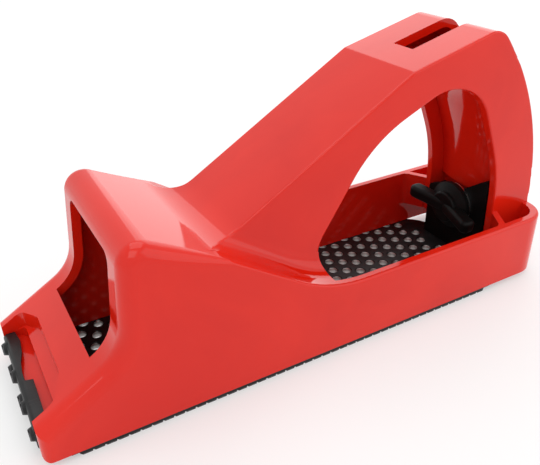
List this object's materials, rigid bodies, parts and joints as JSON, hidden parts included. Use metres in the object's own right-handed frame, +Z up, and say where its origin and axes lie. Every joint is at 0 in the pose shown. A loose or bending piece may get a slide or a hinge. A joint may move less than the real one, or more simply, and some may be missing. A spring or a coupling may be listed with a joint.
{
  "type": "hand rasp with a D handle",
  "caption": "Small plane-type wood rasp: red plastic body with a D handle, perforated steel blade under it and a wing nut tensioner.",
  "frame": {"origin": "middle of the footprint, at the tips of the blade's teeth", "axes": "+X from the nose to the rear of the handle, +Y across, +Z up"},
  "size_m": [0.1448, 0.044, 0.0706],
  "materials": {
    "red_plastic": "gloss",
    "black_steel": "satin",
    "black_plastic": "satin",
    "bolt_steel": "satin",
    "insert_brass": "satin"
  },
  "bodies": {
    "frame": {"body": "red_plastic", "rasp_blade": "black_steel", "tension_bolt": "bolt_steel"},
    "carriage": {"tension_carriage": "black_plastic"},
    "knob": {"wing_nut": "black_plastic", "threaded_insert": "insert_brass", "thrust_washer": "bolt_steel"}
  },
  "joints": [
    {"name": "carriage_slide", "type": "slide", "parent": "frame", "child": "carriage", "axis": [1, 0, 0], "range_m": [-0.0024, 0]},
    {"name": "wing_turn", "type": "hinge", "parent": "carriage", "child": "knob", "pos_m": [0.05485, 0, 0.0166], "axis": [1, 0, 0], "range_deg": [-1080, 0]}
  ],
  "couplings": [
    {"joint": "wing_turn", "follows": "carriage_slide", "rad_per_m": 7853.9}
  ]
}
